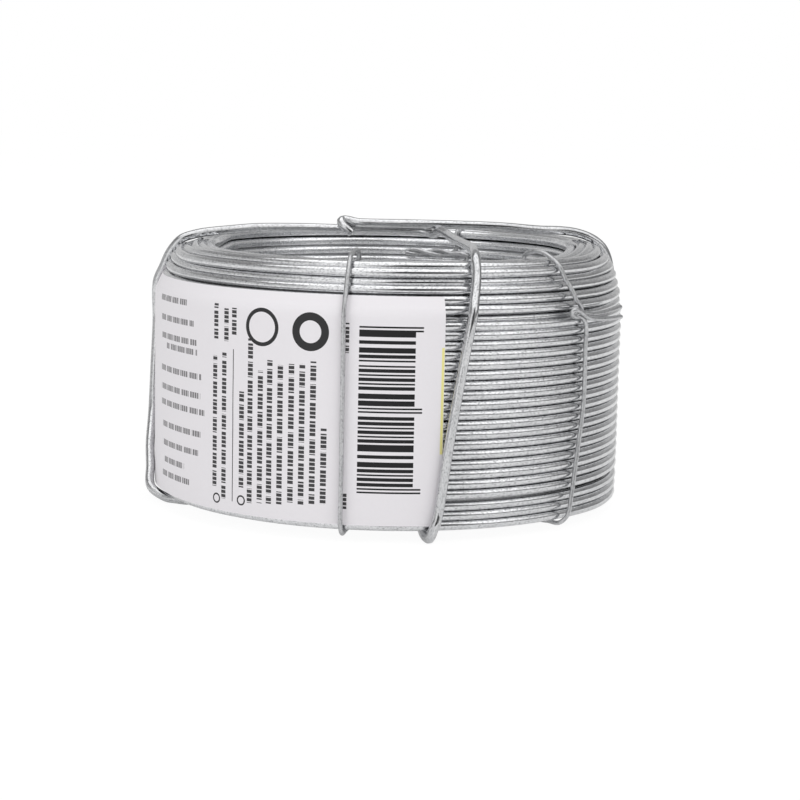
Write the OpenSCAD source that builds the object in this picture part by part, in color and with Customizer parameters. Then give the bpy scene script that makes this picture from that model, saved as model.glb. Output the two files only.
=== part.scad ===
/* [Wire] */
// Diameter of the wire in the coil
wire_d = 1.5; // [1:0.1:2.2]
// Diameter of the heavy binding wire
binding_d = 1.5; // [1:0.1:2]
// Diameter of the thin tie wires
tie_d = 0.7; // [0.4:0.05:1]

/* [Coil] */
// Outer radius of the coil
coil_r = 38.4; // [34:0.2:46]
// Depth of the winding, from the outermost turns in to the bore
winding = 9.4; // [8:0.2:15]
// Height of the coil between its ends
coil_h = 40.6; // [34:0.2:50]
// Height over which the upper turns step inward
shoulder_h = 7.6; // [5:0.2:12]
// How far the topmost outer turn stands in from the coil's outer radius
shoulder_in = 4; // [2:0.2:4.5]
// Turns at the foot that lie deeper than the rest
foot_rows = 4; // [1:1:6]
// How much deeper the turns at the foot lie
foot_in = 0.6; // [0.2:0.1:1.2]

/* [Label] */
// Thickness of the paper
label_t = 0.25; // [0.15:0.05:0.4]
// Height of the label's lower edge above the coil's foot
label_lift = 1.1; // [0.6:0.1:2]
// How far the label's upper edge lies below the coil's top
label_drop = 5.1; // [3:0.1:8]
// Angle from the front to the label's right edge, in degrees
label_right = 12.8; // [5:0.2:20]
// Angle that the label wraps round the coil, in degrees
label_wrap = 160; // [120:1:200]

/* [Binding wire] */
// How far the runs across the top lie behind the axis
cross_y = 5; // [2:0.5:8]
// How high the runs across the top bow above the coil
bow = 1.2; // [0.8:0.1:2]
// How far the hooked end lies left of the axis
hook_x = 8; // [5:0.5:12]
// Angle of the wire's last end at the back, in degrees from the front
tuck_a = 182; // [176:0.5:190]
// How far up the back the wire's last end is turned
tuck_h = 12; // [6:0.5:20]

/* [Ties] */
// Angle of the front tie, in degrees from the front
front_tie_a = -9.5; // [-30:0.5:-4]
// Angle of the side tie at its foot, in degrees from the front
side_tie_a = 46; // [36:0.5:56]
// Angle of the back tie, in degrees from the front
back_tie_a = 156; // [140:0.5:165]
// How far the side tie's leg leans past its foot, in degrees
side_lean = 5.5; // [0:0.5:8]
// Length of the side tie's twisted tail
tail_l = 15.5; // [12:0.5:26]
// Length of the twisted tails in the bore
short_tail_l = 8.5; // [6:0.5:12]
// Length of wire that a tail takes for one turn of twist
twist_l = 9; // [6:0.5:14]

/* [Hidden] */
$fn = 96;

gap = 0.08;
rest = binding_d + 2 * gap;
top = rest + coil_h;
bore_r = coil_r - winding;
turn_rows = floor(coil_h / wire_d);
row_pitch = coil_h / turn_rows;
turn_d = 0.97 * min(wire_d, row_pitch);
turn_r = turn_d / 2;
turn_bed = 0.3 * turn_r;
skin = label_t + 2 * gap;
label_foot = rest + label_lift;
label_top = top - label_drop;
label_bend = top - shoulder_h;

// Radius over the turns at height z: the foot lies deeper and the upper turns step inward
function outer_r(z) =
    z < rest + foot_rows * row_pitch ? coil_r - foot_in
    : coil_r - shoulder_in * pow(max(0, z - top + shoulder_h) / shoulder_h, 0.85);

// Radius that a wire or the label keeps to, clear of the turns' crowns and straight over the foot
function face_r(z) = outer_r(max(z - wire_d / 3, rest + (foot_rows + 1) * row_pitch));

// Centres of the turns that show, going up the outside, in along the top, down the bore and out
function row_z(i) = rest + (i + 0.5) * row_pitch;
top_out = outer_r(row_z(turn_rows - 1)) - turn_r;
foot_out = outer_r(row_z(0)) - turn_r;
bore_in = bore_r + turn_r;
function steps(a, b) = ceil((b - a) / (1.02 * turn_d));
function along(a, b, i) = a + (b - a) * i / steps(a, b);

outside = [for (i = [0 : turn_rows - 1]) [outer_r(row_z(i)) - turn_r, row_z(i)]];
upper_end = [for (i = [steps(bore_in, top_out) - 1 : -1 : 1]) [along(bore_in, top_out, i), row_z(turn_rows - 1)]];
inside = [for (i = [turn_rows - 1 : -1 : 0]) [bore_in, row_z(i)]];
lower_end = [for (i = [1 : steps(bore_in, foot_out) - 1]) [along(bore_in, foot_out, i), row_z(0)]];

module wire_coil() {
    bed = [for (p = outside) p + [turn_bed, 0]];
    bed_top = [for (p = upper_end) p + [0, turn_bed]];
    bed_bore = [for (p = inside) p - [turn_bed, 0]];
    bed_foot = [for (p = lower_end) p - [0, turn_bed]];
    color("silver")
    rotate_extrude() {
        polygon(concat(bed, bed_top, bed_bore, bed_foot));
        for (p = concat(outside, upper_end, inside, lower_end)) translate(p) circle(d = turn_d, $fn = 24);
    }
}

// The label stands straight up the coil and leans in over the shoulder
module label() {
    lean = face_r(label_top);
    foot = coil_r + gap;
    color("whitesmoke")
    rotate([0, 0, label_right - label_wrap - 90])
    rotate_extrude(angle = label_wrap)
    polygon([
        [foot, label_foot],
        [foot + label_t, label_foot],
        [foot + label_t, label_bend],
        [lean + gap + label_t, label_top],
        [lean + gap, label_top],
        [foot, label_bend],
    ]);
}

// A point given by its angle from the front, its radius and its height
function polar(a, r, z) = [r * sin(a), -r * cos(a), z];
function at(a, p) = polar(a, p[0], p[1]);

// The four turns at the corners of the section, and a point that rounds one of them, off its surface
foot_turn = [foot_out, row_z(0)];
top_turn = [top_out, row_z(turn_rows - 1)];
bore_foot = [bore_in, row_z(0)];
bore_top = [bore_in, row_z(turn_rows - 1)];
function rounding(turn, angle, off) = turn + (turn_r + off) * [cos(angle), sin(angle)];
function unit(v) = v / norm(v);

// Smooth curve through the points of a route, with a ring about every gap_l
function slope(p, i) =
    let (a = max(i - 1, 0), b = min(i + 1, len(p) - 1))
    (p[b] - p[a]) / (norm(p[b] - p[i]) + norm(p[i] - p[a]));
function curve(p, i, t) =
    let (l = norm(p[i + 1] - p[i]))
    p[i] * (2 * t ^ 3 - 3 * t ^ 2 + 1) + slope(p, i) * l * (t ^ 3 - 2 * t ^ 2 + t)
    + p[i + 1] * (3 * t ^ 2 - 2 * t ^ 3) + slope(p, i + 1) * l * (t ^ 3 - t ^ 2);
function smooth(p, gap_l) = [
    for (i = [0 : len(p) - 2])
        let (n = ceil(norm(p[i + 1] - p[i]) / gap_l))
        for (k = [0 : n - 1]) curve(p, i, k / n),
    p[len(p) - 1]
];

// Round wire of diameter d along a path, its rings carried along without twisting
function heading(p, i) = unit(p[min(i + 1, len(p) - 1)] - p[max(i - 1, 0)]);
function carry(v, t) = unit(v - t * (v * t));
function carried(p, v) = [
    for (i = 0, u = carry(v, heading(p, 0)); i < len(p); i = i + 1, u = carry(u, heading(p, min(i, len(p) - 1)))) u
];
module wire(p, d, sides, up) {
    ups = carried(p, up);
    last = (len(p) - 1) * sides;
    points = [
        for (i = [0 : len(p) - 1], k = [0 : sides - 1])
            let (side = cross(heading(p, i), ups[i]), a = 360 * k / sides)
            p[i] + d / 2 * (ups[i] * cos(a) + side * sin(a))
    ];
    walls = [
        for (i = [0 : len(p) - 2], k = [0 : sides - 1], half = [0, 1])
            let (a = i * sides + k, b = i * sides + (k + 1) % sides)
            half == 0 ? [a, b + sides, b] : [a, a + sides, b + sides]
    ];
    ends = [
        [for (k = [0 : sides - 1]) k],
        [for (k = [sides - 1 : -1 : 0]) last + k]
    ];
    polyhedron(points = points, faces = concat(walls, ends));
}

// The heavy wire is one length: a hook round the lower run, the upper run across the top, the right leg,
// the cross run below, the left leg, the lower run, the front leg and a last run below to the back
half = binding_d / 2;
over = top + half + gap;
lap = 1.1 * binding_d;
function leg(a, up, out) = polar(a, face_r(rest + up) + half + 2 * gap + out, rest + up);
function across(x, back, up) = [x, cross_y + back, over + up];
function below(a, r) = polar(a, r, half);
function bent(a, turn, angle, more) = at(a, rounding(turn, angle, half + gap + more));

side_a = asin(cross_y / coil_r);
right_a = 98.5 + side_a;
left_a = -90 - side_a;
rim = bore_r + wire_d;
brink = label_lift - gap;
tuck_on = tuck_a > 360 + label_right - label_wrap - 2 ? skin : 0;
next = [-0.8 * binding_d, bow + 0.75 * binding_d];

hook = [for (i = [0 : 5]) let (a = -255 + 60 * i)
    across(-hook_x - lap + 0.36 * lap * i, -lap * sin(a), bow + lap * cos(a))];

upper_run = [
    across(-hook_x / 3, next[0], next[1]),
    across(0.29 * bore_r, next[0], next[1]),
    across(0.63 * bore_r, next[0] / 2, next[1] - 0.2),
    across(0.86 * bore_r, 1, bow + 0.5),
    across(0.98 * bore_r, 2.1, bow + 0.15),
    across(rim + 1.1, 2.9, bow - 0.35),
];
right_leg = [
    bent(right_a - 2.4, top_turn, 62, 0.4),
    bent(right_a - 2.3, top_turn, 18, 1.2),
    leg(right_a - 2, coil_h - 1.9, 1.2),
    leg(right_a - 1.3, coil_h - 4.6, 0.7),
    leg(right_a - 0.6, coil_h - shoulder_h, 0.1),
    leg(right_a, 0.5 * coil_h, 0),
    leg(right_a, 3, 0),
    bent(right_a, foot_turn, -10, 0.4),
    bent(right_a, foot_turn, -55, 0.1),
];
cross_from = below(right_a, foot_out - 0.7);
cross_to = below(-69, foot_out - 2.5);
cross_run = [for (i = [0 : 3]) cross_from + (cross_to - cross_from) * i / 3];
left_leg = [
    below(-70.5, foot_out - 0.7),
    bent(-73, foot_turn, -50, 0.3),
    leg(-76, brink, skin + 0.1),
    leg(-80.5, 3, skin),
    leg(-85, 0.15 * coil_h, skin),
    leg(left_a + 5, 0.27 * coil_h, skin),
    leg(left_a + 2, 0.47 * coil_h, skin),
    leg(left_a, 0.66 * coil_h, skin),
    leg(left_a, coil_h - shoulder_h, skin),
    leg(left_a, coil_h - 4.4, skin + 0.45),
    leg(left_a, coil_h - 2.7, skin + 0.7),
    leg(left_a, coil_h - 1.3, skin + 0.25),
    bent(left_a, top_turn, 42, 0.18),
];
lower_run = [
    across(-rim - 2.6, 0, 0.16),
    across(-rim - 1, 0, 0.35),
    across(-0.95 * bore_r, 0, bow - 0.4),
    across(-0.77 * bore_r, 0, bow),
    across(-0.5 * bore_r, 0, bow + 0.05),
    across(-hook_x, 0, bow),
    across(0, 0, bow),
    across(0.21 * bore_r, -0.2, bow),
    across(0.285 * bore_r, -1.6, bow - 0.25),
];
front_leg = [
    across(0.32 * bore_r, -cross_y - 1, bow - 0.45),
    across(0.36 * bore_r, -cross_y - 0.31 * bore_r, bow - 0.5),
    polar(27, bore_r - 1, over + 0.45),
    polar(23.5, rim + 1.5, over + 0.25),
    bent(22, top_turn, 70, 0.1),
    bent(21.3, top_turn, 30, 0.3),
    leg(20.7, coil_h - 2.2, skin),
    leg(19.6, coil_h - 5, skin),
    leg(18.5, coil_h - shoulder_h, skin),
    leg(16.5, 0.62 * coil_h, skin),
    leg(14, 0.35 * coil_h, skin),
    leg(11.8, 3, skin),
    leg(10.8, brink, skin + 0.3),
    bent(10.4, foot_turn, -50, 0.5),
];
last_run = [
    below(10, foot_out - 0.7),
    below(11, rim),
    [0.13 * bore_r, -0.27 * bore_r, half + 0.6 * binding_d],
    [0.09 * bore_r, -0.03 * bore_r, half + lap],
    [0.01 * bore_r, 0.38 * bore_r, half + 0.4 * binding_d],
    below(tuck_a - 1, rim),
    below(tuck_a, foot_out - 0.7),
    bent(tuck_a, foot_turn, -55, 0.1),
    bent(tuck_a, foot_turn, -10, 0.4 + tuck_on),
    leg(tuck_a, 3, tuck_on),
    leg(tuck_a, tuck_h, tuck_on),
];
binding_route = concat(
    hook, upper_run, right_leg, cross_run, left_leg, lower_run, front_leg, last_run
);
module binding_wire() {
    color("gainsboro") wire(smooth(binding_route, 3.5), binding_d, 10, [0, 0, 1]);
}

// A thin tie is one wire: it hugs the section of the coil and its two ends twist together in a tail.
// foot: angle at its foot; lean: how far its outer leg leans; lift: what lies under it on the outside;
// knot: height of the twist; outer: true where the twist is on the outside; l: length of the tail,
// which droops a little on the outside
tie_half = tie_d / 2;
tie_off = tie_half + 1.4 * gap;
pair = tie_half + gap / 2;

function tie_route(foot, lean, lift, knot, outer, l) =
    let (
        bore_a = foot - 0.35 * lean,
        leg_a = function(up) foot + lean * sin(180 * pow(max(0, min(1, up / coil_h)), 1.3)),
        slack = function(up) 0.2 * max(0, sin(180 * (up - coil_h + shoulder_h) / shoulder_h)),
        out = function(up) polar(leg_a(up), face_r(rest + up) + lift + tie_off + slack(up), rest + up),
        in = function(up) polar(bore_a, bore_r - tie_off, rest + up),
        under = [
            out(brink),
            at(foot, rounding(foot_turn, -55, tie_off + 0.2)),
            polar(foot, foot_out - wire_d, rest - tie_off),
            polar(bore_a, bore_in + wire_d, rest - tie_off),
            at(bore_a, rounding(bore_foot, -135, tie_off + 0.1)),
        ],
        over_top = [
            at(bore_a, rounding(bore_top, 140, tie_off + 0.1)),
            polar(bore_a, bore_in + 0.6 * wire_d, top + tie_off + 0.25),
            polar(foot, top_out - 0.8 * wire_d, top + tie_off + 0.3),
            at(foot, rounding(top_turn, 45, tie_off + 0.3)),
        ],
        side = function(up) outer ? face_r(rest + up) + lift + tie_off : bore_r - tie_off,
        wall = side(knot),
        away = outer ? 1 : -1,
        knot_a = outer ? leg_a(knot) : bore_a,
        arc = 180 / PI / wall,
        tail = function(s, phase)
            let (twist = phase + 360 * l * s / twist_l, droop = outer ? 0.12 * l * s : 0)
            polar(
                knot_a + (0.9 + l * s) * arc, wall + away * pair * (1 + cos(twist)),
                rest + knot - droop + pair * sin(twist)
            ),
        steps_l = ceil(l / 1.2),
        first = [for (i = [steps_l : -1 : 0]) tail(i / steps_l, 0)],
        loop = [
            polar(knot_a - 1.2 * arc, wall + away * 2 * pair, rest + knot + 0.1),
            polar(knot_a - 2.4 * arc, side(knot - 0.5) + away * pair, rest + knot - 0.5),
            polar(knot_a - 1.7 * arc, side(knot - 1.4), rest + knot - 1.4),
            polar(knot_a - 0.5 * arc, side(knot - 2.3), rest + knot - 2.3),
        ],
        second = [
            polar(knot_a - 0.3 * arc, wall, rest + knot + 1.8),
            polar(knot_a, wall, rest + knot + 0.8),
            for (i = [0 : steps_l]) tail(i / steps_l, 180),
        ],
        bend = shoulder_h / coil_h,
        rises = [0.1, 0.25, 0.45, 0.65, 1 - bend, 1 - 0.7 * bend, 1 - 0.4 * bend, 1 - 0.15 * bend],
        falls = [for (i = [len(rises) - 1 : -1 : 0]) rises[i]]
    )
    outer
    ? concat(
        first, loop,
        [for (f = falls) if (f * coil_h < knot - 4) out(f * coil_h)], under,
        [in(0.06 * coil_h), in(0.5 * coil_h), in(0.94 * coil_h)], over_top,
        [for (f = falls) if (f * coil_h > knot + 3.5) out(f * coil_h)], second
    )
    : concat(
        first, loop,
        [in((knot - 4) / 2), in(0.06 * coil_h)], [for (i = [len(under) - 1 : -1 : 0]) under[i]],
        [for (f = rises) out(f * coil_h)], [for (i = [3 : -1 : 0]) over_top[i]],
        [if (0.9 * coil_h > knot + 4) in(0.9 * coil_h)], second
    );

module tie(foot, lean, lift, knot, outer, l) {
    color("lightgray") wire(smooth(tie_route(foot, lean, lift, knot, outer, l), 2), tie_d, 8, [0, 0, 1]);
}
module front_tie() tie(front_tie_a, 0, skin, 0.7 * coil_h, false, short_tail_l);
module side_tie() tie(side_tie_a, side_lean, 0, 0.795 * coil_h, true, tail_l);
module back_tie() tie(back_tie_a, 0, 0, 0.92 * coil_h, false, short_tail_l);

wire_coil();
label();
binding_wire();
front_tie();
side_tie();
back_tie();
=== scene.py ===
"""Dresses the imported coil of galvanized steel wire: its turns, binding wire, ties and label.

Laid out as an add-on and run as a script. Lengths are in millimetres until a mesh is finished,
angles are in degrees from the front (-Y) towards +X.
"""
import math

import bmesh
import bpy
from bpy.props import FloatProperty, FloatVectorProperty, IntProperty, PointerProperty
from mathutils import Matrix, Vector, geometry, noise


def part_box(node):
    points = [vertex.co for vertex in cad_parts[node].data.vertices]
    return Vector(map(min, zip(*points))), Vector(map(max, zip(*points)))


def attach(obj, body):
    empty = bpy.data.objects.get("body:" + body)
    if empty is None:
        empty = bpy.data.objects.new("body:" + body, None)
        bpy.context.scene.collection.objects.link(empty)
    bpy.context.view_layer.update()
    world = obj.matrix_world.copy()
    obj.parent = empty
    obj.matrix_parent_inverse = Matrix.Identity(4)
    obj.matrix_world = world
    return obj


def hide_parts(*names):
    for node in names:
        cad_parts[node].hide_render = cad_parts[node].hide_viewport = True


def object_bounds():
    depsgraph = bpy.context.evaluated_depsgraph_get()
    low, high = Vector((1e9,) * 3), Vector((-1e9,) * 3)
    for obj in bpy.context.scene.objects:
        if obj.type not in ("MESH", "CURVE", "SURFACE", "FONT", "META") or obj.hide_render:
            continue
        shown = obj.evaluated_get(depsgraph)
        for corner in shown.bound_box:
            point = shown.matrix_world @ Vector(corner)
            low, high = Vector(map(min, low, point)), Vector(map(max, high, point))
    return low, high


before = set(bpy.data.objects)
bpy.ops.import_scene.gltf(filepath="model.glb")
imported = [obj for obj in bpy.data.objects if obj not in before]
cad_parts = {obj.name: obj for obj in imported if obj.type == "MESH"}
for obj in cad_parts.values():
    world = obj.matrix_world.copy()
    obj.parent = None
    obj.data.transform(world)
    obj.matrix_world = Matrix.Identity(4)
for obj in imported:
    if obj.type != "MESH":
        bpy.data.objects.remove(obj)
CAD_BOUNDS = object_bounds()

bl_info = {
    "name": "Galvanized Wire Coil",
    "version": (1, 0, 0),
    "blender": (4, 5, 0),
    "location": "View3D > Sidebar > Wire Coil",
    "description": "Winds, labels and ties a short coil of galvanized steel wire",
    "category": "Mesh",
}

MM = 0.001
WHITE = (1, 1, 1, 1)
COIL_LOW, COIL_HIGH = (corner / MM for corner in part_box("wire_coil"))
COIL_R = COIL_HIGH.x
FOOT = COIL_LOW.z

# Centre lines of the heavy wire and the ties, point by point from one end to the other
BINDING_ROUTE = [
    (-6.5, 3.2, 43.7), (-7.35, 3.25, 44.3), (-8.15, 3.5, 45.0), (-8.4, 4.1, 45.62), (-7.9, 4.65, 45.82),
    (-6.9, 4.3, 45.7), (-5.7, 3.85, 45.46), (-2.67, 3.8, 45.41), (8.41, 3.8, 45.41),
    (18.27, 4.4, 45.22), (24.94, 6, 44.72), (28.42, 7.1, 44.62), (31.2, 7.7, 44.3), (33.9, 8.1, 43.4),
    (35.8, 8.66, 42.0), (36.85, 9.09, 40.1), (37.5, 9.75, 37.4), (38, 10.45, 34.66),
    (37.79, 10.82, 21.96), (37.79, 10.82, 4.66), (37.57, 10.76, 2.0), (36.67, 10.5, 0.95),
    (34.97, 10.01, 0.75), (12.55, 2.55, 0.75), (-9.86, -4.92, 0.75), (-32.0, -12.25, 0.75),
    (-33.9, -11.8, 0.8), (-35.9, -10.95, 0.95), (-38.45, -9.55, 2.4), (-38.95, -6.4, 5.3),
    (-39.4, -3.4, 8.4), (-39.6, 1.5, 13.2), (-39.54, 3.79, 20.74), (-39.38, 5.17, 28.46),
    (-39.38, 5.17, 34.66), (-38.15, 5.01, 37.66), (-37.4, 4.94, 39.4), (-36.35, 4.79, 40.95),
    (-35.12, 4.7, 42.14), (-33.1, 5, 42.85), (-31.3, 5, 43.24), (-27.55, 5, 43.7), (-22.33, 5, 44.2),
    (-14.5, 5, 44.34), (-8, 5, 44.29), (0, 5, 44.25), (5.2, 4.95, 44.1), (6.6, 4.3, 43.88),
    (7.4, 3.3, 43.9), (7.9, 2.1, 44.45), (8.5, 0.8, 44.5), (9.3, -1.6, 44.1), (10.44, -8.99, 43.79),
    (12.71, -24.95, 43.54), (12.76, -29.35, 43.34), (12.95, -32.06, 43.07), (12.94, -33.19, 42.44),
    (13.07, -34.58, 40.06), (12.87, -36.16, 37.26), (12.6, -37.67, 34.66), (11.28, -38.08, 26.83),
    (9.61, -38.54, 15.87), (8.12, -38.88, 4.66), (7.5, -39.31, 2.68), (6.93, -37.76, 0.84),
    (6.32, -35.82, 0.75), (5.82, -29.94, 0.75), (3.77, -7.83, 1.65), (2.61, -0.87, 2.4),
    (0.29, 11.02, 1.35), (-0.53, 30.5, 0.75), (-1.27, 36.35, 0.75), (-1.33, 38, 1.05),
    (-1.36, 38.98, 2.07), (-1.37, 39.29, 4.66), (-1.37, 39.29, 13.66),
]
FRONT_TIE_ROUTE = [
    (4.52, -27.41, 29.95), (3.52, -27.75, 29.73), (2.51, -28.14, 29.7), (1.48, -28.44, 29.87),
    (0.42, -28.53, 30.15), (-0.64, -28.38, 30.39), (-1.68, -28.06, 30.47), (-2.7, -27.73, 30.34),
    (-3.72, -27.51, 30.08), (-5.73, -27.16, 30.18), (-6.96, -27.27, 29.58), (-6.38, -27.82, 28.68),
    (-5.2, -28.06, 27.78), (-4.71, -28.15, 13.87), (-4.71, -28.15, 4.1), (-4.76, -28.42, 1.5),
    (-5.15, -30.8, 1.2), (-5.87, -35.08, 1.2), (-6.25, -37.35, 1.27), (-6.48, -38.73, 2.68),
    (-6.5, -38.85, 5.72), (-6.48, -38.74, 11.81), (-6.49, -38.77, 19.93), (-6.48, -38.73, 28.05),
    (-6.48, -38.73, 34.66), (-6.32, -37.74, 36.94), (-6.13, -36.61, 39.22), (-5.96, -35.61, 41.12),
    (-5.79, -34.58, 42.5), (-5.42, -32.36, 43.15), (-5.0, -30.3, 43.4), (-4.66, -28.75, 42.95),
    (-4.6, -28.1, 41.6), (-4.71, -28.15, 38.2), (-5.01, -28.1, 31.88), (-4.71, -28.15, 30.88),
    (-3.82, -28.28, 30.08), (-2.76, -28.3, 29.82), (-1.68, -28.13, 29.69), (-0.63, -27.9, 29.77),
    (0.41, -27.76, 30.01), (1.44, -27.78, 30.29), (2.5, -27.94, 30.46), (3.57, -28.1, 30.43),
    (4.64, -28.13, 30.21),
]
SIDE_TIE_ROUTE = [
    (36.81, -14.87, 34.07), (35.52, -17.39, 33.92), (34.2, -19.67, 33.77), (33.1, -21.27, 33.67),
    (32.21, -22.52, 33.65), (31.32, -23.74, 33.71), (30.44, -24.86, 33.96), (29.64, -25.96, 34.18),
    (29.01, -26.74, 34.16), (28.8, -26.74, 33.91), (29.27, -26, 33.63), (30.03, -24.88, 33.09),
    (30.6, -24.05, 31.9), (30.6, -24, 28.05), (30.6, -24.05, 19.93), (29.75, -25.05, 11.81),
    (29.05, -26, 5.72), (28.5, -26.5, 2.6), (27.24, -26.31, 1.27), (25.59, -24.71, 1.2),
    (21.72, -22.43, 1.2), (20.04, -20.7, 1.5), (19.85, -20.5, 4.1), (19.85, -20.5, 21.96),
    (20.3, -20.1, 39.82), (21, -19.95, 42.2), (22, -21.3, 43), (23.4, -22.6, 43.05),
    (24.75, -23.75, 42.4), (26.15, -24.8, 41.05), (27.1, -24.9, 39.1), (28.2, -25.4, 37.4),
    (28.95, -25.85, 35.74), (29.26, -25.71, 35.55), (29.68, -25.11, 34.7), (29.78, -24.95, 33.99),
    (29.25, -25.65, 33.46), (28.47, -27.09, 33.66), (27.98, -28.02, 34.21), (28.27, -28.15, 34.68),
    (29.05, -27.5, 34.65), (29.73, -26.88, 34.13), (30.4, -26.09, 33.57), (31.22, -25.01, 33.2),
    (32.29, -23.52, 32.97), (33.39, -21.84, 32.82), (34.54, -19.78, 32.68), (35.72, -17.43, 32.6),
    (37, -14.39, 32.43),
]
BACK_TIE_ROUTE = [
    (2.48, 27.67, 38.88), (3.53, 27.74, 38.67), (4.61, 27.87, 38.64), (5.69, 27.9, 38.8),
    (6.74, 27.73, 39.08), (7.73, 27.31, 39.32), (8.65, 26.75, 39.4), (9.56, 26.17, 39.28),
    (10.48, 25.7, 39.01), (12.35, 24.86, 39.11), (13.57, 24.66, 38.51), (13.14, 25.33, 37.61),
    (12.06, 25.86, 36.71), (11.61, 26.07, 18.34), (11.61, 26.07, 4.1), (11.72, 26.32, 1.5),
    (12.7, 28.53, 1.2), (14.47, 32.5, 1.2), (15.4, 34.6, 1.27), (15.81, 35.5, 2.68),
    (15.85, 35.61, 5.72), (15.81, 35.51, 11.81), (15.82, 35.54, 19.93), (15.81, 35.5, 28.05),
    (15.81, 35.5, 34.66), (15.46, 34.71, 36.94), (15.11, 33.94, 39.22), (14.65, 32.89, 41.15),
    (14.26, 32.02, 42.85), (13.71, 30.79, 43.65), (12.94, 29.05, 43.84), (12.25, 27.5, 43.74),
    (11.67, 26.2, 43.05), (11.55, 25.93, 41.7), (11.61, 26.07, 39.81), (10.78, 26.42, 39.01),
    (9.75, 26.71, 38.75), (8.67, 26.81, 38.62), (7.6, 26.86, 38.7), (6.56, 26.98, 38.94),
    (5.56, 27.26, 39.22), (4.58, 27.67, 39.39), (3.58, 28.1, 39.36), (2.55, 28.4, 39.15),
]


# ---------------------------------------------------------------- sizes and colours

def length(name, text, default, low, high):
    """A length in millimetres that a user may change."""
    return FloatProperty(name=name, description=text, default=default, min=low, max=high, precision=3)


def colour(name, text, default):
    """A colour that a user may change."""
    return FloatVectorProperty(
        name=name, description=text, default=default, size=3, min=0, max=1, subtype="COLOR"
    )


class WindingSettings(bpy.types.PropertyGroup):
    wire_d: length("Wire diameter", "Diameter of the coiled wire, in millimetres", 1.48, 1.0, 1.5)
    wander: length("Wander", "How far a turn strays from its place, in millimetres", 0.045, 0, 0.2)
    steps: IntProperty(
        name="Steps", description="Rings of the mesh in one turn", default=150, min=60, max=180
    )
    sides: IntProperty(
        name="Sides", description="Sides of the wire's section", default=12, min=8, max=14
    )


class LabelSettings(bpy.types.PropertyGroup):
    thickness: length("Thickness", "Thickness of the paper, in millimetres", 0.2, 0.1, 0.25)
    right_edge: FloatProperty(
        name="Right edge", description="Angle of the right edge from the front",
        default=math.radians(12.8), min=math.radians(5), max=math.radians(20), subtype="ANGLE",
    )
    paper: colour("Paper", "Colour of the coated paper", (0.77, 0.75, 0.775))
    ink: colour("Ink", "Colour of the print", (0.010, 0.010, 0.011))
    stripe: colour("Stripe", "Colour of the printed edge stripe", (0.78, 0.73, 0.30))


class TieSettings(bpy.types.PropertyGroup):
    binding_d: length("Binding wire", "Diameter of the heavy wire, in millimetres", 1.5, 1.0, 1.5)
    tie_d: length("Tie wire", "Diameter of the thin ties, in millimetres", 0.7, 0.4, 0.7)


class ZincSettings(bpy.types.PropertyGroup):
    bright: colour("Bright zinc", "Colour of the clean zinc", (0.84, 0.845, 0.855))
    dull: colour("Dull zinc", "Colour of the weathered zinc", (0.60, 0.605, 0.62))


class StudioSettings(bpy.types.PropertyGroup):
    lens: FloatProperty(
        name="Lens", description="Focal length of the camera, in millimetres", default=89.89
    )
    pitch: FloatProperty(
        name="Pitch", description="How far the camera looks down", default=0.147781, subtype="ANGLE"
    )
    roll: FloatProperty(
        name="Roll", description="How far the camera is rolled", default=0.0209538, subtype="ANGLE"
    )
    floor: colour("Floor", "Colour of the floor", (0.8, 0.8, 0.8))
    fill: FloatProperty(
        name="Fill", description="Strength of the even light from all round", default=0.70, min=0, max=1
    )


# ---------------------------------------------------------------- wire

WELD = 1e-4  # points this close are one point
SHARP = 1.0  # edges bent by more than this, in radians, are shaded sharp
END_ROUNDING = 0.12  # of a wire's diameter, round the rim of its cut end
UPRIGHT = Vector((0, 0, 1))


def smooth_step(low, high, x):
    """How far x is from low to high, from 0 to 1, easing in and out."""
    t = max(0.0, min(1.0, (x - low) / (high - low)))
    return t * t * (3 - 2 * t)


def polar(angle, r, z):
    """The point at an angle from the front, a radius and a height."""
    a = math.radians(angle)
    return Vector((r * math.sin(a), -r * math.cos(a), z))


def smooth_run(route, gap):
    """Points about every gap along a smooth curve through a route."""
    points = [Vector(p) for p in route]
    last = len(points) - 1
    slopes = []
    for i, p in enumerate(points):
        before, after = points[max(i - 1, 0)], points[min(i + 1, last)]
        slopes.append((after - before) / ((after - p).length + (p - before).length))
    run = []
    for a, b, slope_a, slope_b in zip(points, points[1:], slopes, slopes[1:]):
        span = (b - a).length
        count = max(2, math.ceil(span / gap) + 1)
        handles = a + slope_a * span / 3, b - slope_b * span / 3
        run += geometry.interpolate_bezier(a, *handles, b, count)[:-1]
    return run + [points[-1]]


def carried_ups(run):
    """An upright and a sideways direction for each point of a run, carried along without twisting."""
    up, ups = UPRIGHT, []
    for i in range(len(run)):
        heading = (run[min(i + 1, len(run) - 1)] - run[max(i - 1, 0)]).normalized()
        up = (up - heading * up.dot(heading)).normalized()
        ups.append((up, heading.cross(up)))
    return ups


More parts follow.
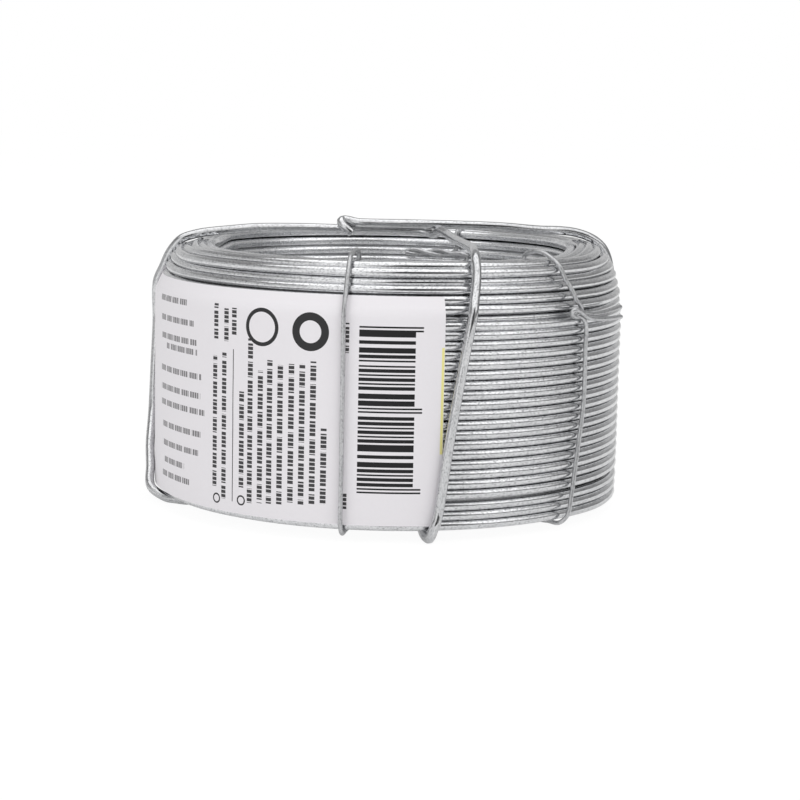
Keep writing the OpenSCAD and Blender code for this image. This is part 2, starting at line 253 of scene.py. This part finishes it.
def round_wire(name, run, ups, d, sides):
    """Round wire along a run. Its attribute lay holds the distance along it and the place round it."""
    bm = bmesh.new()
    lay = bm.verts.layers.float_vector.new("lay")
    rings = len(run) - 1
    bmesh.ops.create_grid(bm, x_segments=rings, y_segments=sides, size=1)
    along = [0.0]
    for a, b in zip(run, run[1:]):
        along.append(along[-1] + (b - a).length)
    r = d / 2
    for v in bm.verts:
        i = round((v.co.x + 1) / 2 * rings)
        turn = math.pi * (v.co.y + 1)
        up, side = ups[i]
        v.co = run[i] + r * (up * math.cos(turn) + side * math.sin(turn))
        v[lay] = (along[i], r * math.cos(turn), r * math.sin(turn))
    bmesh.ops.remove_doubles(bm, verts=bm.verts, dist=WELD)
    rims = [e for e in bm.edges if e.is_boundary]
    bmesh.ops.holes_fill(bm, edges=rims, sides=sides)
    bmesh.ops.bevel(
        bm, geom=rims, offset=END_ROUNDING * d, segments=2, profile=0.5, affect="EDGES", material=-1,
        clamp_overlap=True,
    )
    bmesh.ops.recalc_face_normals(bm, faces=bm.faces)
    return finished(name, bm)


def placed(name, bm):
    """The mesh as an object at the origin of the scene."""
    mesh = bpy.data.meshes.new(name)
    bm.to_mesh(mesh)
    bm.free()
    made = bpy.data.objects.new(name, mesh)
    bpy.context.scene.collection.objects.link(made)
    return made


def finished(name, bm):
    """The mesh brought to metres and shaded smooth except at its sharp edges, as an object."""
    bmesh.ops.scale(bm, vec=(MM, MM, MM), verts=bm.verts)
    for face in bm.faces:
        face.smooth = True
    for edge in bm.edges:
        edge.smooth = edge.calc_face_angle(0) < SHARP
    return placed(name, bm)


def dressed(piece, finish, slot, *nodes):
    """Gives a piece its finish and its body, and hides the solids that it stands for."""
    piece.data.materials.append(finish)
    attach(piece, "root")
    if nodes:
        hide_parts(*nodes)
    return piece


# ---------------------------------------------------------------- windings

# Height of each outer turn above the foot, and how far its crown stands in from the outer radius
FOOT_TURNS = [(0.76, 0.6), (2.24, 0.6), (3.72, 0.55), (5.6, 0.02)]
SIDE_TURNS = [(7.13 + 1.5 * i, 0.0) for i in range(16)]
# The upper turns lie differently round the coil, so their places are given for some angles
UPPER_FRONT = [
    (31.02, 0.0), (31.9, 1.2), (33.4, 0.45), (34.8, 1.05), (36.25, 1.75), (37.25, 2.85),
    (38.7, 2.6), (39.6, 3.75), (39.4, 5.21), (39.5, 6.56),
]
UPPER_LEFT = [
    (31.02, 0.0), (32.2, 0.75), (33.55, 0.4), (35.1, 0.9), (36.6, 1.36), (38.05, 2.06),
    (39.15, 3.06), (39.45, 4.35), (39.95, 5.6), (39.85, 6.8),
]
UPPER_RIGHT = [
    (31.1, 0.0), (32.4, 0.3), (33.8, 0.35), (35.2, 0.7), (36.6, 1.1), (38.0, 1.6), (39.2, 2.4),
    (40.3, 3.7), (40.8, 5.0), (40.8, 6.35),
]
UPPER_BACK = [
    (31.1, 0.0), (32.45, 0.3), (33.8, 0.5), (35.3, 1.15), (36.8, 1.75), (38.0, 2.7), (39.45, 3.1),
    (40.75, 3.95), (40.95, 5.3), (40.9, 6.65),
]
UPPER_TURNS = [
    (60, UPPER_FRONT), (88, UPPER_RIGHT), (100, UPPER_RIGHT), (112, UPPER_BACK), (246, UPPER_BACK),
    (260, UPPER_LEFT), (268, UPPER_LEFT), (298, UPPER_FRONT), (420, UPPER_FRONT),
]
LOWER_TURNS = FOOT_TURNS + SIDE_TURNS
OUTER_COUNT = len(LOWER_TURNS) + len(UPPER_FRONT)
BORE_R = 29.0
BORE_ROWS = 27
BORE_TOP = 39.45
# How much higher the top of the bore stands at some angles
BORE_LIFT = [(60, 0.0), (90, 1.0), (112, 1.2), (246, 1.2), (262, 0.3), (296, 0.0), (420, 0.0)]
# How far the rows under it sag there, as a share of that, and which row sags most
SLACK = 0.3
SLACK_ROW = 4
# How much less the foot's turns stand in at some angles
FOOT_OUT = [(40, 0.0), (66, 0.5), (128, 0.5), (150, 0.0), (400, 0.0)]
# The turns out below, from the last row of the bore, and how much every other one stands higher
FOOT_COUNT = 5
FOOT_STAGGER = 0.12
# Where in a turn the wire starts to step over to the next, how much that varies from turn to turn,
# and how long the step takes, all as shares of a turn
STEP_START, STEP_VARIES, STEP_LENGTH = 0.86, 0.05, 0.09


def among(keys, angle):
    """The two keys that an angle lies between, and how far it is from the first to the second."""
    a = (angle - keys[0][0]) % 360 + keys[0][0]
    for (low, first), (high, second) in zip(keys, keys[1:]):
        if a <= high:
            return first, second, smooth_step(low, high, a)
    return keys[-1][1], keys[-1][1], 0.0


def outer_place(k, angle, d):
    """Radius and height of the centre of outer turn k at an angle."""
    if k < len(LOWER_TURNS):
        z, inset = LOWER_TURNS[k]
        low, high, share = among(FOOT_OUT, angle)
        inset = max(0.0, inset - low - (high - low) * share)
    else:
        first, second, share = among(UPPER_TURNS, angle)
        a, b = first[k - len(LOWER_TURNS)], second[k - len(LOWER_TURNS)]
        z, inset = a[0] + (b[0] - a[0]) * share, a[1] + (b[1] - a[1]) * share
    return COIL_R - d / 2 - inset, FOOT + z


def inner_place(k, angle, d):
    """Radius and height of the centre of turn k down the bore and out below, at an angle."""
    foot, r = LOWER_TURNS[0][0], BORE_R + d / 2
    if k < BORE_ROWS:
        low, high, share = among(BORE_LIFT, angle)
        lift = low + (high - low) * share
        last = BORE_ROWS - 1
        loose = SLACK * lift * min(k / SLACK_ROW, (last - k) / (last - SLACK_ROW))
        return r, FOOT + foot + (BORE_TOP - foot + lift) * (1 - k / last) - loose
    i = k - BORE_ROWS + 1
    out = COIL_R - d / 2 - LOWER_TURNS[0][1]
    return r + (out - r) * i / FOOT_COUNT, FOOT + foot + FOOT_STAGGER * (i % 2)


def winding_run(place, count, start, s, seed):
    """Centre line of one wire laid turn by turn: level, with one step over to the next turn."""
    run, ups = [], []
    for k in range(count):
        cross = STEP_START + STEP_VARIES * noise.noise(Vector((k * 0.7, seed, 0)))
        for i in range(s.steps + (k == count - 1)):
            share = i / s.steps
            angle = start + 360 * share
            r, z = place(k, angle, s.wire_d)
            r_next, z_next = place(min(k + 1, count - 1), angle, s.wire_d)
            step = smooth_step(cross, cross + STEP_LENGTH, share)
            a = math.radians(angle)
            here = Vector((1.6 * math.cos(a), 1.6 * math.sin(a), 0))
            drift = noise.noise(here + Vector((0, 0, z * 0.05 + seed)))
            lone = noise.noise(here * 2.2 + Vector((0, 0, (k + step) * 3.1 + seed)))
            lift = noise.noise(here * 1.5 + Vector((7, 0, (k + step) * 2.3 + seed)))
            radius = r + (r_next - r) * step + s.wander * (1.2 * drift + 1.0 * lone)
            height = z + (z_next - z) * step + s.wander * 0.8 * lift
            run.append(polar(angle, radius, height))
            ups.append((polar(angle, 1, 0), UPRIGHT))
    return run, ups


class WIRECOIL_OT_windings(bpy.types.Operator):
    """Wind the turns that show: up the outside and in over the top, down the bore and out below"""
    bl_idname = "wirecoil.windings"
    bl_label = "Windings"

    def execute(self, context):
        s = context.scene.wirecoil_winding
        # Places and number of the turns, angle of the first, seed of its wander, brightness, roughness
        for name, place, count, start, seed, gain, rough in (
            ("outer_winding", outer_place, OUTER_COUNT, 225, 3.0, 1.0, 0.09),
            # inner turns: their zinc is brightened by 1.24, which is painted light that lightens the
            # bore
            ("inner_winding", inner_place, BORE_ROWS + FOOT_COUNT - 1, 25, 11.0, 1.24, 0.22),
        ):
            zinc = galvanized(name.replace("winding", "zinc"), context.scene.wirecoil_zinc, gain, rough)
            run, ups = winding_run(place, count, start, s, seed)
            piece = round_wire(name, run, ups, s.wire_d, s.sides)
            dressed(piece, zinc, "coil_wire", "wire_coil")
        return {"FINISHED"}


# How far the filling ends inside the centres of the outer turns, past those of the bore's turns
# towards the axis, and under or over the centres of the end turns
CORE_INSIDE, CORE_PAST, CORE_UNDER = 0.35, 0.15, 0.3
# Heights above the foot between which the filling takes on the lift of the bore's top
CORE_LIFT = (28, 37)
CORE_STEPS = 96


class WIRECOIL_OT_core(bpy.types.Operator):
    """Fill the buried turns behind the ones that show"""
    bl_idname = "wirecoil.core"
    bl_label = "Buried turns"

    def execute(self, context):
        s = context.scene.wirecoil_winding
        d = s.wire_d
        outer = [outer_place(k, 0, d) for k in range(len(LOWER_TURNS))]
        for k in range(len(LOWER_TURNS), OUTER_COUNT):
            places = [outer_place(k, angle, d) for angle, _ in UPPER_TURNS]
            outer.append((min(r for r, _ in places), min(z for _, z in places)))
        bore = [inner_place(k, 0, d) for k in range(BORE_ROWS)]
        below = [inner_place(k, 0, d) for k in range(BORE_ROWS, BORE_ROWS + FOOT_COUNT - 1)]
        top_r, top = outer[-2][0], outer[-2][1] - CORE_UNDER
        loop = [(r - CORE_INSIDE, z) for r, z in outer[:-3]] + [(top_r, top)]
        loop += [(r - CORE_PAST, z) for r, z in bore if z < top - CORE_UNDER]
        loop += [(r, z + CORE_UNDER) for r, z in below]
        bm = bmesh.new()
        corners = [bm.verts.new((0, -r, z)) for r, z in loop]
        edges = [bm.edges.new((a, b)) for a, b in zip(corners, corners[1:] + corners[:1])]
        bmesh.ops.spin(
            bm, geom=corners + edges, cent=(0, 0, 0), axis=(0, 0, 1), angle=math.tau, steps=CORE_STEPS,
            use_merge=True, use_normal_flip=False, use_duplicate=False,
        )
        bmesh.ops.remove_doubles(bm, verts=bm.verts, dist=WELD)
        lift_from, lift_to = (FOOT + height for height in CORE_LIFT)
        for v in bm.verts:
            low, high, share = among(BORE_LIFT, math.degrees(math.atan2(v.co.x, -v.co.y)))
            v.co.z += (low + (high - low) * share) * smooth_step(lift_from, lift_to, v.co.z)
        bmesh.ops.recalc_face_normals(bm, faces=bm.faces)
        # The buried turns' zinc is dimmed to 0.55 of the rest: painted shade for the dark in the gaps
        # between the turns
        zinc = galvanized("buried zinc painted shade", context.scene.wirecoil_zinc, 0.55)
        dressed(finished("buried_turns", bm), zinc, "coil_wire", "wire_coil")
        return {"FINISHED"}


# ---------------------------------------------------------------- label

LABEL_WRAP = 160.0  # degrees that the label runs round the coil
LABEL_GRID = (150, 44)  # faces along its length and up its height
LABEL_OUT = 0.32  # how far its outer face stands out from the coil
LABEL_BEND = 7.6  # how far under the coil's top it starts to lean in
LABEL_LEAN = 1.2  # how far it leans in at its own top
LABEL_RIPPLE = 0.05


class WIRECOIL_OT_label(bpy.types.Operator):
    """Wrap the paper label round the coil and print it"""
    bl_idname = "wirecoil.label"
    bl_label = "Label"

    def execute(self, context):
        s = context.scene.wirecoil_label
        low, high = (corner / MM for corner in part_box("label"))
        bend = COIL_HIGH.z - LABEL_BEND
        bm = bmesh.new()
        bmesh.ops.create_grid(bm, x_segments=LABEL_GRID[0], y_segments=LABEL_GRID[1], size=1)
        for v in bm.verts:
            angle = math.degrees(s.right_edge) - LABEL_WRAP * (1 - v.co.x) / 2
            z = low.z + (high.z - low.z) * (v.co.y + 1) / 2
            past = max(0.0, z - bend) / (high.z - bend)
            r = COIL_R + LABEL_OUT - LABEL_LEAN * past
            a = math.radians(angle)
            ripple = LABEL_RIPPLE * noise.noise(Vector((5 * math.cos(a), 5 * math.sin(a), z * 0.12)))
            v.co = polar(angle, r + max(0, ripple), z)
        bmesh.ops.recalc_face_normals(bm, faces=bm.faces)
        bmesh.ops.solidify(bm, geom=bm.faces[:], thickness=s.thickness)
        bmesh.ops.recalc_face_normals(bm, faces=bm.faces)
        sheet = finished("label_sheet", bm)
        dressed(sheet, printed_paper(s), "label_paper", "label")
        return {"FINISHED"}


# ---------------------------------------------------------------- binding wire and ties

# Spacing of the rings along the heavy wire and along a tie, and the sides of their sections
BINDING_RINGS, BINDING_SIDES = 0.7, 18
TIE_RINGS, TIE_SIDES = 0.45, 14


class WIRECOIL_OT_binding(bpy.types.Operator):
    """Run the heavy binding wire across the coil and round it"""
    bl_idname = "wirecoil.binding"
    bl_label = "Binding wire"

    def execute(self, context):
        d = context.scene.wirecoil_tie.binding_d
        run = smooth_run(BINDING_ROUTE, BINDING_RINGS)
        piece = round_wire("binding_run", run, carried_ups(run), d, BINDING_SIDES)
        zinc = galvanized("binding zinc", context.scene.wirecoil_zinc, 0.86)
        dressed(piece, zinc, "binding_wire", "binding_wire")
        return {"FINISHED"}


class WIRECOIL_OT_ties(bpy.types.Operator):
    """Tie the coil's section with thin wire and twist the ends"""
    bl_idname = "wirecoil.ties"
    bl_label = "Ties"

    def execute(self, context):
        d = context.scene.wirecoil_tie.tie_d
        zinc = galvanized("tie zinc", context.scene.wirecoil_zinc, 0.8, rough=0.32)
        for node, route in (
            ("front_tie", FRONT_TIE_ROUTE), ("side_tie", SIDE_TIE_ROUTE), ("back_tie", BACK_TIE_ROUTE),
        ):
            run = smooth_run(route, TIE_RINGS)
            piece = round_wire(node + "_wire", run, carried_ups(run), d, TIE_SIDES)
            dressed(piece, zinc, "tie_wire", node)
        return {"FINISHED"}


# ---------------------------------------------------------------- materials

RELIEF = 0.02 * MM  # height of the finest relief, on zinc and paper


class Signal:
    """A socket of a finish, so that shader maths reads as ordinary expressions."""

    def __init__(self, finish, socket):
        self.finish, self.socket = finish, socket

    def maths(self, operation, *others):
        values = dict(enumerate((self, *others)))
        return self.finish.node("Math", values, operation=operation)

    def __add__(self, other):
        return self.maths("ADD", other)

    def __sub__(self, other):
        return self.maths("SUBTRACT", other)

    def __rsub__(self, other):
        return (self * -1) + other

    def __mul__(self, other):
        return self.maths("MULTIPLY", other)

    __radd__, __rmul__ = __add__, __mul__

    def __gt__(self, other):
        return self.maths("GREATER_THAN", other)

    def __lt__(self, other):
        return self.maths("LESS_THAN", other)

    def __abs__(self):
        return self.maths("ABSOLUTE")

    def floor(self):
        return self.maths("FLOOR")

    def part(self):
        """What is left over the whole number below."""
        return self.maths("FRACT")

    def or_(self, other):
        return self.maths("MAXIMUM", other)

    def within(self, low, high):
        return (self > low) * (self < high)


class Finish:
    """The nodes of a new material or world."""

    def __init__(self, owner):
        self.owner = owner
        owner.use_nodes = True
        self.tree = owner.node_tree
        self.tree.nodes.clear()

    def node(self, kind, sockets=None, out=0, stops=None, **settings):
        """Adds a node, with its settings first and then the values or links of its sockets."""
        made = self.tree.nodes.new("ShaderNode" + kind)
        for key, value in settings.items():
            setattr(made, key, value)
        for i, (place, value) in enumerate(stops or ()):
            stop = made.color_ramp.elements[i] if i < 2 else made.color_ramp.elements.new(place)
            stop.position, stop.color = place, (value, value, value, 1)
        for key, value in (sockets or {}).items():
            if isinstance(value, Signal):
                self.tree.links.new(value.socket, made.inputs[key])
            else:
                made.inputs[key].default_value = value
        return Signal(self, made.outputs[out])

    def mix(self, factor, a, b):
        """Mixes two colours."""
        return self.node("Mix", {0: factor, 6: a, 7: b}, out=2, data_type="RGBA")

    def noise(self, vector, scale, detail=2.0, roughness=0.5):
        sockets = {"Vector": vector, "Scale": scale, "Detail": detail, "Roughness": roughness}
        return self.node("TexNoise", sockets)

    def rays(self, *names):
        """Which kinds of ray see the surface, one signal each."""
        return [self.node("LightPath", out=f"Is {name} Ray") for name in names]

    def surface(self, **sockets):
        """Ends in one shader, its sockets given by name."""
        named = {name.replace("_", " "): value for name, value in sockets.items()}
        return self.end(self.node("BsdfPrincipled", named))

    def end(self, shader):
        """Ends in a shader, and gives back the material or world."""
        made = self.tree.nodes.new("ShaderNodeOutput" + type(self.owner).__name__)
        self.tree.links.new(shader.socket, made.inputs["Surface"])
        return self.owner


def rgba(values, gain=1.0):
    """A colour of three values, brightened or dimmed, as a socket takes it."""
    return (*(gain * v for v in values), 1)


def galvanized(name, s, gain, rough=0.09):
    """Zinc with a soft mottle, draw lines along the wire and fine pits."""
    f = Finish(bpy.data.materials.new(name))
    lay = f.node("Attribute", out="Vector", attribute_name="lay")

    def stretched(along):
        return f.node("Mapping", {"Vector": lay, "Scale": (along, 1.0, 1.0)})

    patch = f.noise(stretched(0.35), 0.9, 2.0)
    lines = f.noise(stretched(0.10), 3.6, 3.0, 0.6)
    grain = f.noise(stretched(0.55), 4.2, 3.0, 0.65)
    pits = f.node("ValToRGB", {0: grain}, stops=((0.34, 0.0), (0.45, 1.0)))
    mottle = grain * 0.5 + lines * 0.3 + patch * 0.2
    clean = f.node("ValToRGB", {0: mottle}, stops=((0.38, 0.0), (0.60, 1.0)))
    base = f.mix(clean, rgba(s.dull, gain), rgba(s.bright, gain))
    base = f.mix(pits, rgba(s.dull, 0.75 * gain), base)
    relief = grain * 0.7 + lines * 0.3
    bump = f.node("Bump", {"Strength": 0.4, "Distance": RELIEF, "Height": relief})
    return f.surface(Base_Color=base, Metallic=1.0, Roughness=(1 - clean) * 0.10 + rough, Normal=bump)


# Print on the label, in millimetres along its arc from the front and up from the coil's foot
PRINT_R = COIL_R + 0.3
# The bar block: its rows, their height, its lowest edge, and its left and right edges
BAR_ROWS = 95
BAR_ROW = 25.1 / BAR_ROWS
BAR_LOW, BAR_LEFT, BAR_RIGHT, GUARD_RIGHT = 6.0, -4.15, 4.25, 5.4
# The long bars stand close to the middle row and at both ends, this many rows from the middle one
MIDDLE_ROW, GUARDS_WITHIN, GUARDS_BEYOND = 47, 2.5, 44.5
# Lines of dashes: half a line's height, clusters and dashes to a millimetre, and their inked shares
LINE_HALF = 0.46
CLUSTERS, CLUSTER_SHARE, DASHES, DASH_SHARE = 0.36, 0.86, 1.55, 0.78
# Where each line stands across its run, and from where to where it runs
UPRIGHT_LINES = [
    (-28.9, 4.2, 25.0), (-26.9, 3.0, 25.6), (-23.3, 5.2, 20.0), (-21.7, 3.0, 28.2),
    (-19.85, 3.2, 23.5), (-18.2, 3.3, 25.2), (-16.4, 3.4, 24.6), (-14.55, 3.5, 24.9),
    (-12.8, 3.6, 25.0), (-11.05, 3.8, 25.5), (-9.3, 4.0, 15.5), (-28.7, 27.6, 33.0),
    (-26.5, 27.4, 32.4), (-24.9, 28.4, 32.6), (-6.1, 3.2, 6.0), (-6.1, 27.0, 31.5),
]
LEVEL_LINES = [
    (32.4, -47.0, -36.5), (29.3, -47.0, -34.4), (26.4, -47.0, -33.6), (24.9, -44.0, -33.4),
    (21.2, -47.0, -32.2), (18.2, -47.0, -32.5), (15.7, -47.0, -31.4), (12.2, -46.0, -32.4),
    (9.2, -46.0, -33.0), (6.5, -45.0, -37.0), (4.2, -46.0, -35.5),
]
# Rings: centre along and up, inner and outer radius
RINGS = [
    (-19.7, 30.1, 2.3, 2.9), (-11.6, 29.9, 1.7, 2.9), (-28.4, 2.9, 0.55, 0.8),
    (-23.3, 3.2, 0.55, 0.8),
]
# The rule and the coloured stripe: left, right, low and high
RULE = (-25.1, -24.95, 2.8, 26.3)
STRIPE = (8.2, 8.6, 12.0, 28.0)


def printed_paper(s):
    """Coated paper with a block of bars, lines of plain dashes, rings, a rule and a stripe."""
    f = Finish(bpy.data.materials.new("label paper"))
    place = f.node("TexCoord", out="Object")
    x, y, z = (f.node("SeparateXYZ", {"Vector": place}, out=axis) for axis in "XYZ")
    up = z * (1 / MM) - FOOT
    arc = x.maths("ARCTAN2", y * -1) * PRINT_R

    def dashes(across, along, centre, low, high):
        seed = centre * 0.37 % 1
        cluster = (along * CLUSTERS + seed).part() < CLUSTER_SHARE
        dash = (along * DASHES + seed).part() < DASH_SHARE
        line = across.within(centre - LINE_HALF, centre + LINE_HALF)
        return line * along.within(low, high) * cluster * dash

    def patch(left, right, bottom, top):
        return arc.within(left, right) * up.within(bottom, top)

    row = ((up - BAR_LOW) * (1 / BAR_ROW)).floor()
    off_middle = abs(row - MIDDLE_ROW)
    guards = (off_middle > GUARDS_BEYOND).or_(off_middle < GUARDS_WITHIN)
    paired = row.maths("MODULO", 2.0) < 0.5
    bars = (row * 0.37).part() + (row * 0.23).part() > 0.97
    rows = row.within(-0.5, BAR_ROWS - 0.5)
    block = rows * arc.within(BAR_LEFT, BAR_RIGHT) * bars * (1 - guards)
    print_ = block.or_(rows * arc.within(BAR_LEFT, GUARD_RIGHT) * guards * paired)
    for centre, low, high in UPRIGHT_LINES:
        print_ = print_.or_(dashes(arc, up, centre, low, high) * 0.95)
    for centre, low, high in LEVEL_LINES:
        print_ = print_.or_(dashes(up, arc, centre, low, high) * 0.75)
    for centre, height, inner, outer in RINGS:
        a, b = arc - centre, up - height
        print_ = print_.or_((a * a + b * b).within(inner ** 2, outer ** 2) * 0.98)
    print_ = print_.or_(patch(*RULE))
    fibre = f.noise(place, 2500.0, 2.0)
    paper = f.mix(fibre, rgba(s.paper, 0.97), rgba(s.paper))
    page = f.mix(patch(*STRIPE), paper, rgba(s.stripe))
    page = f.mix(print_, page, rgba(s.ink))
    bump = f.node("Bump", {"Strength": 0.15, "Distance": RELIEF, "Height": fibre})
    return f.surface(Base_Color=page, Roughness=0.5, Specular_IOR_Level=0.3, Normal=bump)


# ---------------------------------------------------------------- studio

FLOOR_SIZE = 3.0  # metres from the middle of the floor to an edge
FLOOR_GAP = 0.00002  # metres between the floor and the coil
FLOOR_GLOW = 1.06  # strength of the floor's own light
FLOOR_SEEN, FLOOR_MIRRORED = 0.88, 0.28  # how much of it the camera and the gloss of the pieces see
EYE = (2.064, -331.33, 65.46)  # where the camera stands
COIL_MIDDLE = Vector((0, 0, 0.02))  # where the lights point, in metres

# Light that the tent sends back at each angle: from its lower walls and from its upper walls
WALLS = [
    (-180, 0.58, 0.42), (-105, 0.58, 0.28), (-60, 0.58, 0.34), (-46, 0.70, 0.55), (-38, 1.05, 0.85),
    (-14, 1.00, 1.05), (-6, 0.40, 1.10), (0, 0.07, 1.10), (10, 0.05, 1.00), (22, 0.06, 0.70),
    (34, 0.20, 0.68), (44, 0.30, 0.95), (54, 0.35, 1.35), (82, 0.29, 1.08), (96, 0.28, 0.68),
    (104, 0.27, 0.42), (125, 0.27, 0.34), (140, 0.42, 0.38), (152, 0.52, 0.42), (180, 0.58, 0.42),
]
# Rises between which the lower walls give way to the upper ones: as a rule, and from angle to angle
WALL_EDGE = (20, 29)
WALL_EDGES = [(1, 40, (38, 46)), (50, 92, (12, 26))]
# The ceiling's light, how much more it gives behind, and the rises over which it takes over there
CEILING, CEILING_BEHIND = 1.3, 0.5
CEILING_EDGE = (60, 72)
CEILING_AHEAD = 20  # how much lower it comes ahead
AHEAD = (80, 130)  # angles between which ahead gives way to behind


def wall_light(angle, rise):
    """Light from a direction: lower walls, upper walls, and the ceiling."""
    for (a, low_a, high_a), (b, low_b, high_b) in zip(WALLS, WALLS[1:]):
        if angle <= b:
            share = (angle - a) / (b - a)
            low, high = low_a + (low_b - low_a) * share, high_a + (high_b - high_a) * share
            break
    edge = next((edge for left, right, edge in WALL_EDGES if left <= angle <= right), WALL_EDGE)
    wall = low + (high - low) * smooth_step(*edge, rise)
    ahead = 1 - smooth_step(*AHEAD, abs(angle))
    ceiling = CEILING + CEILING_BEHIND * (1 - ahead)
    start, full = (limit - CEILING_AHEAD * ahead for limit in CEILING_EDGE)
    return wall + (ceiling - wall) * smooth_step(start, full, rise)


def soft_box(name, place, size, power):
    """An area light that points at the coil and doesn't mirror in it."""
    light = bpy.data.lights.new(name, "AREA")
    light.shape, light.size, light.size_y, light.energy = "RECTANGLE", *size, power
    lamp = bpy.data.objects.new(name, light)
    lamp.location = place
    lamp.rotation_euler = (COIL_MIDDLE - Vector(place)).to_track_quat("-Z", "Y").to_euler()
    lamp.visible_glossy = False
    bpy.context.scene.collection.objects.link(lamp)
    return lamp


def light_tent():
    """A round tent of light that nothing but the gloss of the pieces sees."""
    bm = bmesh.new()
    glow = bm.verts.layers.float.new("glow")
    bmesh.ops.create_uvsphere(bm, u_segments=120, v_segments=60, radius=1.0)
    for v in bm.verts:
        angle = math.degrees(math.atan2(v.co.x, -v.co.y))
        v[glow] = wall_light(angle, math.degrees(math.asin(max(-1, min(1, v.co.z)))))
    bmesh.ops.reverse_faces(bm, faces=bm.faces)
    tent = placed("light_tent", bm)
    f = Finish(bpy.data.materials.new("tent walls"))
    level = f.node("Attribute", out="Fac", attribute_name="glow")
    tent.data.materials.append(f.end(f.node("Emission", {"Color": WHITE, "Strength": level})))
    tent.visible_camera = tent.visible_diffuse = tent.visible_shadow = False
    tent.visible_transmission = tent.visible_volume_scatter = False


def studio_floor(s):
    """A wide floor just under the coil, white to the camera, that keeps the coil's shadow."""
    bm = bmesh.new()
    bmesh.ops.create_grid(bm, x_segments=1, y_segments=1, size=FLOOR_SIZE)
    floor = placed("floor", bm)
    floor.location.z = CAD_BOUNDS[0].z - FLOOR_GAP
    f = Finish(bpy.data.materials.new("studio floor"))
    camera, glossy, through = f.rays("Camera", "Glossy", "Transmission")
    diffuse = f.node("BsdfDiffuse", {"Color": rgba(s.floor)})
    glow = f.node("Emission", {"Color": WHITE, "Strength": FLOOR_GLOW})
    seen = camera.or_(through) * FLOOR_SEEN + glossy * FLOOR_MIRRORED
    floor.data.materials.append(f.end(f.node("MixShader", {0: seen, 1: diffuse, 2: glow})))


def studio_world(s):
    """A white backdrop, which lights the coil only as much as the fill says."""
    f = Finish(bpy.data.worlds.new("studio"))
    camera, glossy, through = f.rays("Camera", "Glossy", "Transmission")
    shown = camera.or_(glossy).or_(through)
    level = shown * (1 - s.fill) + s.fill
    bpy.context.scene.world = f.end(f.node("Background", {"Color": WHITE, "Strength": level}))


def studio_camera(s):
    """The camera, which looks a little down on the coil and is rolled a little."""
    camera = bpy.data.cameras.new("camera")
    camera.sensor_width = 36
    camera.lens = s.lens
    camera.clip_start = 0.01
    eye = bpy.data.objects.new("camera", camera)
    look = Vector((0, math.cos(s.pitch), -math.sin(s.pitch)))
    up = Vector((0, math.sin(s.pitch), math.cos(s.pitch)))
    right = Vector((1, 0, 0))
    c, n = math.cos(s.roll), math.sin(s.roll)
    turn = Matrix((right * c + up * n, up * c - right * n, -look)).transposed()
    eye.matrix_world = Matrix.Translation(Vector(EYE) * MM) @ turn.to_4x4()
    bpy.context.scene.collection.objects.link(eye)
    bpy.context.scene.camera = eye


class WIRECOIL_OT_studio(bpy.types.Operator):
    """Set the floor, the backdrop, the light tent, the soft lights and the camera"""
    bl_idname = "wirecoil.studio"
    bl_label = "Studio"

    def execute(self, context):
        s = context.scene.wirecoil_studio
        studio_floor(s)
        studio_world(s)
        light_tent()
        soft_box("key box", (0.45, -0.55, 0.70), (0.6, 0.5), 3.0)
        soft_box("left box", (-0.75, -0.55, 0.45), (0.6, 0.5), 2.5)
        studio_camera(s)
        context.scene.view_settings.view_transform = "Standard"
        return {"FINISHED"}


# ---------------------------------------------------------------- panel

class WIRECOIL_PT_panel(bpy.types.Panel):
    bl_label = "Wire Coil"
    bl_idname = "WIRECOIL_PT_panel"
    bl_space_type = "VIEW_3D"
    bl_region_type = "UI"
    bl_category = "Wire Coil"

    def draw(self, context):
        for group, keys in GROUPS.items():
            box = self.layout.box()
            settings = getattr(context.scene, group)
            for key in keys.__annotations__:
                box.prop(settings, key)
        for operator in OPERATORS:
            self.layout.operator(operator.bl_idname)


GROUPS = {
    "wirecoil_winding": WindingSettings,
    "wirecoil_label": LabelSettings,
    "wirecoil_tie": TieSettings,
    "wirecoil_zinc": ZincSettings,
    "wirecoil_studio": StudioSettings,
}
OPERATORS = (
    WIRECOIL_OT_windings, WIRECOIL_OT_core, WIRECOIL_OT_label, WIRECOIL_OT_binding, WIRECOIL_OT_ties,
    WIRECOIL_OT_studio,
)


def register():
    for made in (*GROUPS.values(), *OPERATORS, WIRECOIL_PT_panel):
        bpy.utils.register_class(made)
    for name, group in GROUPS.items():
        setattr(bpy.types.Scene, name, PointerProperty(type=group))


def unregister():
    for name in GROUPS:
        delattr(bpy.types.Scene, name)
    for made in reversed((*GROUPS.values(), *OPERATORS, WIRECOIL_PT_panel)):
        bpy.utils.unregister_class(made)


def main():
    register()
    for operator in OPERATORS:
        group, name = operator.bl_idname.split(".")
        getattr(getattr(bpy.ops, group), name)()


if __name__ == "__main__":
    main()
